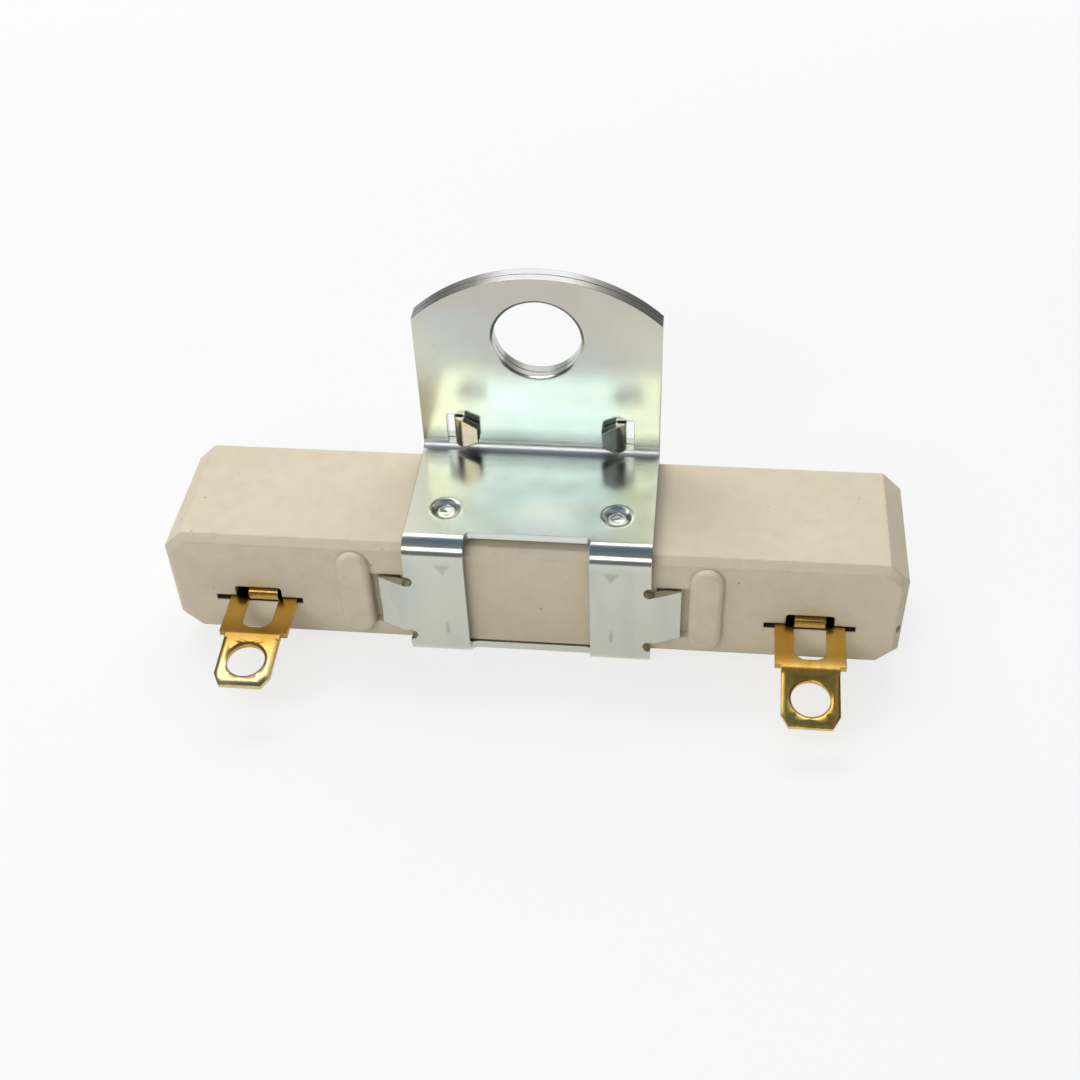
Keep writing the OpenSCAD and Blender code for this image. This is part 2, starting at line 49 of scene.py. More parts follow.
# The photograph's camera: lens and sensor in millimetres, axes and place fitted in the row frame
LENS = 49.99
SENSOR_WIDTH = 36.0
CLIP_NEAR, CLIP_FAR = 0.005, 20.0
CAMERA_RIGHT = Vector((0.994043, 0.103956, -0.032721))
CAMERA_UP = Vector((-0.047500, 0.683477, 0.728425))
CAMERA_BACK = Vector((0.098088, -0.722532, 0.684344))
CAMERA_PLACE = Vector((0.02136, -0.1654, 0.11779))

# Shading of the CAD nodes
WELD_DISTANCE = 2e-6
SHARP_ANGLE = math.radians(35)
FLAT_WEIGHT = 75
BEVEL_SAMPLES = 6

# Coil in millimetres, measured from the block's front lower edge
BLOCK_EDGE = Vector((0, -21.9, -39.0))
COIL_TURNS = 22
COIL_END = 28.6
COIL_SETBACK = 13.0
COIL_LOW = 6.0
COIL_RADIUS = 3.15
WIRE_RADIUS = 0.45
LEAD_BEND = 1.5
LEAD_LENGTH = 8.0
TURN_STEPS = 40
BEND_STEPS = 10
WIRE_SIDES = 14

# Colours of the ceramic
CREAM = (0.735, 0.640, 0.470, 1)
CREAM_PALE = (0.780, 0.690, 0.520, 1)
CREAM_DULL = (0.67, 0.575, 0.42, 1)
CREAM_GRAIN = (0.82, 0.740, 0.585, 1)
CREAM_WORN = (0.52, 0.44, 0.32, 1)
SPECK_BROWN = (0.28, 0.23, 0.16, 1)
BRASS_BOUNCE_GOLD = (0.72, 0.55, 0.22, 1)
SLIT_SHADE = (0.030, 0.020, 0.012, 1)
CHIP_DARK = (0.09, 0.08, 0.07, 1)

# Places on the ceramic, in millimetres; a mask rises from a band's first number to its second
SLIT_SIDE = 38.4
SLIT_LEVEL = -32.1
BOUNCE_SIDE, BOUNCE_TOP, BOUNCE_FOOT = (0.6, 3.6), (-27.6, -29.4), (-33.0, -31.8)
BOUNCE_FACE = (-21.4, -21.8)
MOUTH_SIDE, MOUTH_LEVEL, MOUTH_DEPTH = (6.5, 6.3), (0.75, 0.55), (-21.89, -21.75)
NOTCH_SIDE, NOTCH_FOOT, NOTCH_TOP = (3.8, 3.5), (-32.9, -32.6), (-29.5, -29.7)
NOTCH_DEPTH = (-21.8, -20.4)
CHIP_PLACE = (50.3, -21.4, -32.0)
CHIP_RADII = (0.25, 0.52)
CHIP_SQUEEZE = (1, 1, 0.6)

# Colours of the zinc plate
FILM_GREEN = (0.605, 0.680, 0.645, 1)
FILM_BEIGE = (0.560, 0.530, 0.470, 1)
FILM_CREAM = (0.690, 0.690, 0.545, 1)
FILM_GREY = (0.580, 0.595, 0.520, 1)
FILM_WARM = (0.655, 0.655, 0.550, 1)
FILM_COOL = (0.525, 0.590, 0.610, 1)
FILM_DULL = (0.42, 0.44, 0.43, 1)
FOOT_DARK_REFLECTION = (0.20, 0.235, 0.235, 1)
FOLD_HIGHLIGHT = (0.82, 0.84, 0.82, 1)
DIMPLE_PAINTED_LIGHT = (0.88, 0.90, 0.86, 1)
CREST_SHADE = (0.13, 0.14, 0.135, 1)
CREST_HIGHLIGHT = (0.95, 0.96, 0.93, 1)
LEG_CREAM = (0.66, 0.655, 0.545, 1)
LEG_BLUE = (0.47, 0.505, 0.50, 1)
LEG_SHADE = (0.46, 0.47, 0.41, 1)
TAB_CERAMIC_REFLECTION = (0.50, 0.33, 0.18, 1)
TAB_DARK_REFLECTION = (0.30, 0.31, 0.32, 1)
MARK_GREY = (0.22, 0.23, 0.22, 1)
EDGE_BRIGHT = (0.74, 0.75, 0.73, 1)

# Places on the bracket, in millimetres
FILM_DRIFT = (-4.5, 4.5)
FILM_TURN = (-6.0, 3.5)
MARGIN_SIDE, MARGIN_TOP = (8.0, 15.0), (6.0, 0.0)
GREY_TOP = (-19.8, -21.6)
PLATE_FRONT = (-2.2, -2.4)
FOOT_DEPTH, FOOT_TOP, FOOT_END = (-4.4, -3.4), (-14.8, -17.4), (-18.0, -17.5)
FOLD_DEPTH, FOLD_TOP, FOLD_END = (-4.9, -4.0), (-17.4, -18.0), (-19.4, -19.0)
DIMPLE_TOP, DIMPLE_END = (-18.86, -19.1), (-20.1, -19.8)
DIMPLE_FRONT, DIMPLE_BACK = (-20.6, -20.0), (-4.0, -5.0)
CREST_FOOT, CREST_ENDS, CREST_MIDDLE = (-4.0, -1.0), (5.0, 12.0), (8.0, 4.0)
LEG_TOP, LEG_DEPTH, LEG_RIGHT = (-20.5, -22.0), (-19.0, -20.5), (-2.0, 6.0)
TAB_FACE, TAB_FRONT, TAB_SIDE = (-3.0, -3.3), (-6.0, -5.0), (13.0, 12.6)
TAB_FOOT, TAB_TOP, TAB_TURN = (-18.5, -18.2), (-12.4, -12.7), (-1.0, 1.0)
MARK_SIDE, MARK_FACE = 11.4, (-23.3, -23.55)
WEDGE_FALL, WEDGE_WIDTH = (-22.2, -24.3), (1.3, 0.0)
WEDGE_TOP, WEDGE_EDGE = (-21.7, -22.4), (0.0, 0.7)
DASH_EDGE, DASH_TOP, DASH_FOOT = (0.08, 0.4), (-32.8, -33.6), (-35.6, -34.8)
CRISP_FRONT, CRISP_TOP = (-20.2, -20.9), (-18.86, -19.0)

# Colours of the brass
BRASS_DEEP = (0.66, 0.385, 0.072, 1)
BRASS_YELLOW = (0.78, 0.535, 0.150, 1)
BRASS_STREAK = (0.52, 0.285, 0.055, 1)
BRASS_GRAIN = (0.42, 0.225, 0.055, 1)
BRASS_SHINE = (0.84, 0.63, 0.25, 1)
BRASS_RAIL = (0.88, 0.54, 0.12, 1)
LUG_END_HIGHLIGHT = (0.60, 0.53, 0.33, 1)
BRASS_EDGE = (0.86, 0.66, 0.27, 1)
SLIT_TARNISH_AND_SHADE = (0.36, 0.20, 0.05, 1)
ROOT_DARK_REFLECTION = (0.30, 0.165, 0.033, 1)
TONGUE_SHADOW = (0.13, 0.065, 0.016, 1)

# Places on the terminals, in millimetres
BRASS_OUTSIDE = (-18.5, -19.5)
RAIL_END = (-28.6, -27.4)
TARNISH_AND_SHADE_REACH = (-24.2, -21.6)
LEFT_SIDE = (-1.0, 1.0)
LUG_HIGHLIGHT_END = (-30.5, -34.0)
ROOT_FRONT, ROOT_BACK = (-32.8, -29.4), (-25.4, -28.2)
TONGUE_DEPTH, TONGUE_TOP = (-22.6, -21.9), (-31.0, -30.2)

# Colours of the wire
WIRE_GREY = (0.33, 0.31, 0.30, 1)
WIRE_BROWN = (0.40, 0.335, 0.27, 1)
WIRE_BLUE = (0.22, 0.225, 0.24, 1)

# Floor and room; places in metres
WHITE = (1, 1, 1, 1)
FLOOR_PAINT = (0.86, 0.86, 0.86, 1)
FLOOR_HALF = 3.0
FLOOR_FADE, FLOOR_WHITE = (0.12, 0.6), (0.75, 1.0)
ROOM_FRONT = (0.16, 0.16, 0.165, 1)
ROOM_BACK = (0.92, 0.92, 0.91, 1)
ROOM_SIDES = (0.05, 0.05, 0.055, 1)
ROOM_ABOVE = (0.13, 0.18, 0.26, 1)
ROOM_DEPTH = (-0.6, 0.5)
ROOM_LEFT, ROOM_LEFT_SHARE = (-0.75, -0.32), (0.85, 0.0)
ROOM_RIGHT, ROOM_RIGHT_SHARE = (0.28, 0.68), (0.0, 0.92)
ROOM_ZENITH, ROOM_ZENITH_EDGE = (0.0, -0.03, 1.0), (0.86, 0.96)
LAMP_TARGET = Vector((0, -0.012, -0.02))


# A node tree with short calls
class Graph:
    def __init__(self, tree):
        self.tree = tree

    # Adds a node, sets its properties, and sets or links its inputs
    def add(self, kind, inputs=None, **settings):
        made = self.tree.nodes.new(kind)
        for key, value in settings.items():
            setattr(made, key, value)
        for key, value in (inputs or {}).items():
            if isinstance(value, bpy.types.NodeSocket):
                self.link(value, made.inputs[key])
            else:
                made.inputs[key].default_value = value
        return made

    def link(self, source, target):
        self.tree.links.new(source, target)

    def calc(self, kind, a, b=0.0):
        return self.add("ShaderNodeMath", {0: a, 1: b}, operation=kind).outputs[0]

    def vector(self, kind, inputs, output=0):
        return self.add("ShaderNodeVectorMath", inputs, operation=kind).outputs[output]

    def product(self, *values):
        total = values[0]
        for value in values[1:]:
            total = self.calc("MULTIPLY", total, value)
        return total

    # Value carried from one range to another, held at its ends
    def ramp(self, value, source, target=(0.0, 1.0)):
        keys = {"Value": value, "From Min": source[0], "From Max": source[1],
                "To Min": target[0], "To Max": target[1]}
        return self.add("ShaderNodeMapRange", keys).outputs[0]

    def mix(self, factor, a, b):
        return self.add("ShaderNodeMix", {0: factor, 6: a, 7: b}, data_type="RGBA").outputs[2]

    # Colour with a second one laid over it where the mask is 1
    def tint(self, colour, second, mask, strength=None):
        if strength is not None:
            mask = self.product(mask, strength)
        return self.mix(mask, colour, second)

    def noise(self, where, scale, detail=3.0, roughness=0.5):
        keys = {"Vector": where, "Scale": scale, "Detail": detail, "Roughness": roughness}
        return self.add("ShaderNodeTexNoise", keys).outputs[0]

    def stretched(self, where, factors):
        return self.add("ShaderNodeMapping", {"Vector": where, "Scale": factors}).outputs[0]

    # The coordinates of a place in millimetres, the sideways one also without its sign
    def axes(self, where):
        scaled = self.vector("SCALE", {0: where, "Scale": 1.0 / MM})
        x, y, z = self.add("ShaderNodeSeparateXYZ", {0: scaled}).outputs
        return x, y, z, self.calc("ABSOLUTE", x)

    # 1 inside a soft-edged ball about a point given in millimetres, 0 outside it
    def spot(self, where, centre, radii, squeeze):
        shifted = self.vector("ADD", {0: where, 1: [-c * MM for c in centre]})
        scaled = self.vector("MULTIPLY", {0: shifted, 1: squeeze})
        length = self.vector("LENGTH", {0: scaled}, "Value")
        return self.ramp(length, [r * MM for r in radii], FALL)

    # Normal of a surface whose edges are rounded by the given radius in millimetres
    def rounded_normal(self, radius):
        keys = {"Radius": radius * MM}
        return self.add("ShaderNodeBevel", keys, samples=BEVEL_SAMPLES).outputs[0]

    # 1 along edges and creases, 0 on the flats between them
    def edges(self, radius, turn):
        flat = self.add("ShaderNodeNewGeometry").outputs["Normal"]
        keys = {0: self.rounded_normal(radius), 1: flat}
        same = self.vector("DOT_PRODUCT", keys, "Value")
        return self.ramp(same, [1.0 - t for t in turn])

    # Bump over edges that are rounded by the given radius, lengths in millimetres
    def relief(self, shader, height, strength, depth, radius):
        keys = {"Strength": strength, "Distance": depth * MM, "Height": height,
                "Normal": self.rounded_normal(radius)}
        self.link(self.add("ShaderNodeBump", keys).outputs[0], shader.inputs["Normal"])


def make_camera():
    data = bpy.data.cameras.new("camera")
    data.lens = LENS
    data.sensor_width = SENSOR_WIDTH
    data.clip_start = CLIP_NEAR
    data.clip_end = CLIP_FAR
    cam = bpy.data.objects.new("camera", data)
    scene.collection.objects.link(cam)
    turn = Matrix((CAMERA_RIGHT, CAMERA_UP, CAMERA_BACK)).transposed().to_4x4()
    cam.matrix_world = Matrix.Translation(CAMERA_PLACE) @ turn
    scene.camera = cam


def start_material(name):
    mat = bpy.data.materials.new(name)
    mat.use_nodes = True
    mat.node_tree.nodes.clear()
    graph = Graph(mat.node_tree)
    where = graph.add("ShaderNodeTexCoord").outputs["Object"]
    shader = graph.add("ShaderNodeBsdfPrincipled")
    graph.add("ShaderNodeOutputMaterial", {"Surface": shader.outputs[0]})
    return mat, graph, where, shader


def put_surface(graph, shader, colour, rough, metallic=0.0):
    graph.link(colour, shader.inputs["Base Color"])
    graph.link(rough, shader.inputs["Roughness"])
    shader.inputs["Metallic"].default_value = metallic


# Unglazed cream ceramic: mottled, grainy, with dark specks and dull edges, painted shade in the
# slits and painted gold light from the brass above them
def ceramic_material():
    mat, g, where, shader = start_material("cream_ceramic")
    _, y, z, side = g.axes(where)
    broad = g.noise(where, scale=70.0, detail=2.0)
    middle = g.noise(where, scale=420.0, detail=4.0, roughness=0.6)
    fine = g.noise(where, scale=3600.0, roughness=0.6)
    colour = g.mix(g.ramp(broad, (0.35, 0.65)), CREAM, CREAM_PALE)
    colour = g.tint(colour, CREAM_DULL, g.ramp(middle, (0.42, 0.68), (0.0, 0.45)))
    colour = g.tint(colour, CREAM_GRAIN, g.ramp(fine, (0.35, 0.70), (0.0, 0.40)))
    worn = g.product(g.edges(radius=0.45, turn=(0.02, 0.14)), g.ramp(middle, (0.40, 0.62)))
    colour = g.tint(colour, CREAM_WORN, worn, strength=0.38)

    # Specks in a few of the cells
    cells = g.add("ShaderNodeTexVoronoi", {"Vector": where, "Scale": 560.0})
    pick = g.add("ShaderNodeSeparateColor", {0: cells.outputs["Color"]}).outputs[0]
    size = g.ramp(cells.outputs["Distance"], (0.05, 0.13), FALL)
    speck = g.product(g.ramp(pick, (0.88, 0.89)), size)
    colour = g.tint(colour, SPECK_BROWN, speck, strength=0.6)

    # Painted gold light, bounced from the brass onto the face above each slit
    off_slit = g.calc("ABSOLUTE", g.calc("SUBTRACT", side, SLIT_SIDE))
    brass_bounce = g.product(g.ramp(off_slit, BOUNCE_SIDE, FALL), g.ramp(z, BOUNCE_TOP),
                     g.ramp(z, BOUNCE_FOOT), g.ramp(y, BOUNCE_FACE),
                     g.ramp(middle, (0.3, 0.6), (0.35, 0.7)))
    colour = g.tint(colour, BRASS_BOUNCE_GOLD, brass_bounce)
    # Painted shade, nearly black, in the mouth of each slit and in its notch
    off_level = g.calc("ABSOLUTE", g.calc("ADD", z, -SLIT_LEVEL))
    mouth_shade = g.product(g.ramp(off_slit, MOUTH_SIDE), g.ramp(off_level, MOUTH_LEVEL),
                      g.ramp(y, MOUTH_DEPTH))
    notch_shade = g.product(g.ramp(off_slit, NOTCH_SIDE), g.ramp(z, NOTCH_FOOT),
                      g.ramp(z, NOTCH_TOP), g.ramp(y, NOTCH_DEPTH))
    colour = g.tint(colour, SLIT_SHADE, g.calc("MAXIMUM", mouth_shade, notch_shade), strength=0.97)

    # Chip on the right end's front corner
    chip = g.product(g.spot(where, CHIP_PLACE, CHIP_RADII, CHIP_SQUEEZE),
                     g.ramp(fine, (0.25, 0.5), (0.6, 1.0)))
    colour = g.tint(colour, CHIP_DARK, chip, strength=0.9)

    put_surface(g, shader, colour, g.ramp(middle, (0.3, 0.7), (0.78, 0.95)))
    shader.inputs["Specular IOR Level"].default_value = 0.3
    height = g.calc("ADD", g.product(fine, 0.6), middle)
    pits = g.product(g.calc("MAXIMUM", speck, chip), 0.9)
    height = g.calc("SUBTRACT", height, pits)
    g.relief(shader, height, strength=0.35, depth=0.09, radius=0.4)
    return mat


# Zinc plate with a thin film: pale green low on the plate, beige above, grey on the legs
def steel_material():
    mat, g, where, shader = start_material("zinc_plated_steel")
    x, y, z, side = g.axes(where)
    cloud = g.noise(where, scale=60.0, detail=2.0, roughness=0.45)
    patch = g.noise(g.stretched(where, (1.0, 1.3, 0.8)), scale=110.0, detail=2.0)
    grain = g.noise(g.stretched(where, (0.12, 1.0, 1.0)), scale=2600.0, roughness=0.6)
    fine = g.noise(where, scale=2400.0, roughness=0.6)
    veil = g.noise(g.stretched(where, (2.2, 1.0, 0.5)), scale=90.0)
    waves = g.noise(where, scale=130.0, detail=1.0)

    # Film
    drift = g.ramp(cloud, (0.3, 0.7), FILM_DRIFT)
    colour = g.mix(g.ramp(g.calc("ADD", z, drift), FILM_TURN), FILM_GREEN, FILM_BEIGE)
    margin = g.product(g.ramp(g.calc("ADD", side, drift), MARGIN_SIDE),
                       g.ramp(z, MARGIN_TOP, (0.0, 0.75)))
    colour = g.tint(colour, FILM_CREAM, margin)
    colour = g.tint(colour, FILM_GREY, g.ramp(z, GREY_TOP))
    colour = g.tint(colour, FILM_WARM, g.ramp(patch, (0.50, 0.72), (0.0, 0.45)))
    colour = g.tint(colour, FILM_COOL, g.ramp(patch, (0.44, 0.26), (0.0, 0.40)))
    colour = g.tint(colour, FILM_DULL, g.ramp(fine, (0.50, 0.75), (0.0, 0.14)))

    # Painted dark reflection on the foot of the mounting plate, a painted highlight on the fold
    # below it and painted light in the dimples
    front = g.ramp(y, PLATE_FRONT)
    foot_reflection = g.product(g.ramp(y, FOOT_DEPTH), front, g.ramp(z, FOOT_TOP, (0.0, 0.85)),
                     g.ramp(patch, (0.3, 0.6), (0.8, 1.0)), g.ramp(z, FOOT_END))
    colour = g.tint(colour, FOOT_DARK_REFLECTION, foot_reflection)
    fold = g.product(g.ramp(y, FOLD_DEPTH), front, g.ramp(z, FOLD_TOP), g.ramp(z, FOLD_END))
    colour = g.tint(colour, FOLD_HIGHLIGHT, fold, strength=0.8)
    dimple_light = g.product(g.ramp(z, DIMPLE_TOP), g.ramp(z, DIMPLE_END),
                       g.ramp(y, DIMPLE_FRONT), g.ramp(y, DIMPLE_BACK))
    colour = g.tint(colour, DIMPLE_PAINTED_LIGHT, dimple_light, strength=0.7)

    # Rim of the mounting plate, painted shade at its ends and a painted highlight in the middle
    normal = g.add("ShaderNodeNewGeometry").outputs["Normal"]
    up = g.add("ShaderNodeSeparateXYZ", {0: normal}).outputs[2]
    crest = g.product(g.ramp(up, (0.50, 0.65)), g.ramp(z, CREST_FOOT))
    ends = g.product(crest, g.ramp(side, CREST_ENDS, (0.0, 0.8)))
    colour = g.tint(colour, CREST_SHADE, ends)
    centre = g.product(crest, g.ramp(side, CREST_MIDDLE, (0.0, 0.9)))
    colour = g.tint(colour, CREST_HIGHLIGHT, centre)

    # Legs, veiled unevenly, the right one a little darker
    legs = g.product(g.ramp(z, LEG_TOP), g.ramp(y, LEG_DEPTH))
    warm = g.product(legs, g.ramp(veil, (0.45, 0.70), (0.0, 0.55)))
    colour = g.tint(colour, LEG_CREAM, warm)
    cool = g.product(legs, g.ramp(veil, (0.48, 0.25), (0.0, 0.55)))
    colour = g.tint(colour, LEG_BLUE, cool)
    shade = g.product(legs, g.ramp(x, LEG_RIGHT, (0.0, 0.22)))
    colour = g.tint(colour, LEG_SHADE, shade)

    # Folded tabs with painted reflections, the ceramic's brown on the left one and dark grey on the
    # right one
    tab_reflection = g.product(g.ramp(y, TAB_FACE), g.ramp(z, TAB_FOOT), g.ramp(z, TAB_TOP),
                     g.ramp(side, TAB_SIDE), g.ramp(y, TAB_FRONT),
                     g.ramp(patch, (0.3, 0.6), (0.45, 0.75)))
    colour = g.tint(colour, g.mix(g.ramp(x, TAB_TURN), TAB_CERAMIC_REFLECTION, TAB_DARK_REFLECTION), tab_reflection)

    # Tool marks on the legs: a wedge below the bend and a dash near the foot
    off_mark = g.calc("ABSOLUTE", g.calc("SUBTRACT", side, MARK_SIDE))
    face = g.ramp(y, MARK_FACE)
    wedge = g.calc("SUBTRACT", g.ramp(z, WEDGE_FALL, WEDGE_WIDTH), off_mark)
    wedge = g.product(g.ramp(wedge, WEDGE_EDGE), g.ramp(z, WEDGE_TOP), face)
    dash = g.product(g.ramp(off_mark, DASH_EDGE, FALL), g.ramp(z, DASH_TOP),
                     g.ramp(z, DASH_FOOT), face)
    mark = g.product(g.calc("MAXIMUM", wedge, dash), g.ramp(fine, (0.3, 0.6), (0.5, 1.0)))
    colour = g.tint(colour, MARK_GREY, mark, strength=0.5)
    rims = g.edges(radius=0.2, turn=(0.03, 0.2))
    colour = g.tint(colour, EDGE_BRIGHT, rims, strength=0.4)

    # Satin, crisper in front and in the dimples, duller in the fold
    crisp = g.calc("MAXIMUM", g.ramp(y, CRISP_FRONT), g.ramp(z, CRISP_TOP))
    rough = g.calc("ADD", g.ramp(patch, (0.3, 0.7), (0.185, 0.235)),
                   g.ramp(fine, (0.45, 0.8), (0.0, 0.03)))
    rough = g.calc("SUBTRACT", rough, g.product(crisp, 0.02))
    rough = g.calc("ADD", rough, g.product(fold, 0.18))
    put_surface(g, shader, colour, rough, metallic=1.0)
    height = g.calc("ADD", g.product(grain, 0.02), g.product(fine, 0.008))
    height = g.calc("SUBTRACT", height, g.product(mark, 0.04))
    height = g.calc("ADD", height, g.product(waves, 1.0))
    g.relief(shader, height, strength=1.0, depth=0.06, radius=0.18)
    return mat


# Rolled brass strip: brown tarnish with painted shade near the slit, painted shadow on the tongue,
# a painted dark reflection at the lug's root and a painted highlight on the left lug's end
def brass_material():
    mat, g, where, shader = start_material("rolled_brass")
    x, y, z, _ = g.axes(where)
    cloud = g.noise(where, scale=160.0, roughness=0.55)
    streak = g.noise(g.stretched(where, (1.0, 0.08, 1.0)), scale=2400.0, roughness=0.6)
    broad_streak = g.noise(g.stretched(where, (1.0, 0.12, 1.0)), scale=900.0, detail=2.0)
    fine = g.noise(where, scale=2200.0, detail=4.0, roughness=0.6)
    colour = g.mix(g.ramp(cloud, (0.40, 0.62)), BRASS_DEEP, BRASS_YELLOW)
    colour = g.tint(colour, BRASS_STREAK, g.ramp(broad_streak, (0.48, 0.70), (0.0, 0.5)))
    colour = g.tint(colour, BRASS_GRAIN, g.ramp(fine, (0.52, 0.76), (0.0, 0.40)))
    colour = g.tint(colour, BRASS_SHINE, g.ramp(streak, (0.55, 0.80), (0.0, 0.30)))

    outside = g.ramp(y, BRASS_OUTSIDE)
    rail = g.product(g.ramp(y, RAIL_END), outside)
    colour = g.tint(colour, BRASS_RAIL, rail, strength=0.55)
    # Brown tarnish near the block, with painted shade where the strip runs into the slit
    slit_tarnish_and_shade = g.product(g.ramp(y, TARNISH_AND_SHADE_REACH), g.ramp(cloud, (0.3, 0.6), (0.15, 0.4)), outside)
    colour = g.tint(colour, SLIT_TARNISH_AND_SHADE, slit_tarnish_and_shade)
    # Painted highlight on the end of the left lug
    left = g.ramp(x, LEFT_SIDE, FALL)
    colour = g.tint(colour, LUG_END_HIGHLIGHT, g.product(left, g.ramp(y, LUG_HIGHLIGHT_END, (0.0, 0.7))))
    # Painted dark reflection towards the lug's root, weaker on the right terminal
    root = g.product(g.ramp(y, ROOT_FRONT), g.ramp(y, ROOT_BACK),
                     g.ramp(cloud, (0.3, 0.7), (0.65, 0.95)),
                     g.ramp(outside, (0.0, 1.0), (0.4, 1.0)),
                     g.ramp(left, (0.0, 1.0), (0.45, 1.0)))
    colour = g.tint(colour, ROOT_DARK_REFLECTION, root)
    # Painted shadow on the tongue and painted shade on the strip inside the slit
    tongue_shadow = g.product(g.ramp(y, TONGUE_DEPTH), outside, g.ramp(z, TONGUE_TOP, (1.0, 0.35)),
                       g.ramp(fine, (0.3, 0.6), (0.7, 0.95)))
    colour = g.tint(colour, TONGUE_SHADOW, tongue_shadow)
    rims = g.edges(radius=0.25, turn=(0.03, 0.2))
    colour = g.tint(colour, BRASS_EDGE, rims, strength=0.35)

    rough = g.calc("ADD", g.ramp(cloud, (0.3, 0.7), (0.24, 0.18)),
                   g.ramp(fine, (0.5, 0.8), (0.0, 0.03)))
    put_surface(g, shader, colour, rough, metallic=1.0)
    height = g.calc("ADD", g.product(streak, 0.7), g.product(fine, 0.5))
    g.relief(shader, height, strength=0.10, depth=0.06, radius=0.18)
    return mat


# Drawn resistance wire, dull with a brown and blue heat tint
def wire_material():
    mat, g, where, shader = start_material("oxidised_wire")
    cloud = g.noise(where, scale=130.0, roughness=0.55)
    fine = g.noise(where, scale=3000.0, detail=4.0, roughness=0.6)
    colour = g.mix(g.ramp(cloud, (0.36, 0.66)), WIRE_GREY, WIRE_BROWN)
    colour = g.tint(colour, WIRE_BLUE, g.ramp(fine, (0.48, 0.74), (0.0, 0.5)))
    put_surface(g, shader, colour, g.ramp(fine, (0.3, 0.75), (0.36, 0.58)), metallic=1.0)
    g.relief(shader, fine, strength=0.2, depth=0.05, radius=0.05)
    return mat


# Node group that shades smooth except across edges sharper than the angle
def smooth_group():
    group = bpy.data.node_groups.new("smooth_by_angle", "GeometryNodeTree")
    for way in ("INPUT", "OUTPUT"):
        group.interface.new_socket("Geometry", in_out=way, socket_type="NodeSocketGeometry")
    g = Graph(group)
    start = g.add("NodeGroupInput")
    end = g.add("NodeGroupOutput")
    angle = g.add("GeometryNodeInputMeshEdgeAngle")
    sharp = g.add("FunctionNodeCompare", {0: angle.outputs[0], 1: SHARP_ANGLE},
                  data_type="FLOAT", operation="GREATER_THAN")
    faces = g.add("GeometryNodeSetShadeSmooth",
                  {"Geometry": start.outputs[0], "Shade Smooth": True}, domain="FACE")
    edges = g.add("GeometryNodeSetShadeSmooth",
                  {"Geometry": faces.outputs[0], "Selection": sharp.outputs[0],
                   "Shade Smooth": False}, domain="EDGE")
    g.link(edges.outputs[0], end.inputs[0])
    return group


# Joins a node's tessellated faces, shades its curves smooth and keeps its flats flat beside them
def soften(obj, group):
    weld = obj.modifiers.new("weld", "WELD")
    weld.merge_threshold = WELD_DISTANCE
    smooth = obj.modifiers.new("smooth", "NODES")
    smooth.node_group = group
    flat = obj.modifiers.new("flat", "WEIGHTED_NORMAL")
    flat.keep_sharp = True
    flat.mode = "FACE_AREA_WITH_ANGLE"
    flat.weight = FLAT_WEIGHT


def put_material(obj, mat):
    obj.data.materials.clear()
    obj.data.materials.append(mat)


# Middle line of the wire: left lead, its bend, the turns, and the right lead backwards
def coil_line():
    leads = []
    for side in (-1, 1):
        tip = side * (COIL_END + LEAD_BEND + LEAD_LENGTH)
        lead = [(tip, COIL_SETBACK + side * LEAD_BEND, COIL_LOW)]
        for i in range(BEND_STEPS + 1):
            t = math.radians(90) * i / BEND_STEPS
            lead.append((side * (COIL_END + LEAD_BEND - LEAD_BEND * math.sin(t)),
                         COIL_SETBACK + side * LEAD_BEND * math.cos(t), COIL_LOW))
        leads.append(lead)
    steps = COIL_TURNS * TURN_STEPS
    turns = []
    for i in range(1, steps):
        t = 2 * math.pi * i / TURN_STEPS
        turns.append((2 * COIL_END * i / steps - COIL_END,
                      COIL_SETBACK + COIL_RADIUS * math.sin(t),
                      COIL_LOW + COIL_RADIUS - COIL_RADIUS * math.cos(t)))
    return [Vector(point) for point in leads[0] + turns + leads[1][::-1]]


# Round wire swept along the coil's middle line
def make_coil(mat):
    line = coil_line()
    mesh = bpy.data.meshes.new("coil_wire")
    bm = bmesh.new()
    rings = []
    across = Vector((0, 1, 0))
    for i, point in enumerate(line):
        along = (line[min(i + 1, len(line) - 1)] - line[max(i - 1, 0)]).normalized()
        across = (across - along * across.dot(along)).normalized()
        other = along.cross(across)
        ring = []
        for k in range(WIRE_SIDES):
            a = 2 * math.pi * k / WIRE_SIDES
            spoke = WIRE_RADIUS * (math.cos(a) * across + math.sin(a) * other)
            ring.append(bm.verts.new((point + spoke + BLOCK_EDGE) * MM))
        rings.append(ring)
    for a, b in zip(rings, rings[1:]):
        for k in range(WIRE_SIDES):
            after = (k + 1) % WIRE_SIDES
            bm.faces.new((a[k], a[after], b[after], b[k])).smooth = True
    bm.faces.new(rings[0][::-1])
    bm.faces.new(rings[-1])
    bmesh.ops.recalc_face_normals(bm, faces=bm.faces)
    bm.to_mesh(mesh)
    bm.free()
    obj = bpy.data.objects.new("coil_wire", mesh)
    scene.collection.objects.link(obj)
    put_material(obj, mat)
    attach(obj, "root")
    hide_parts("resistance_coil")


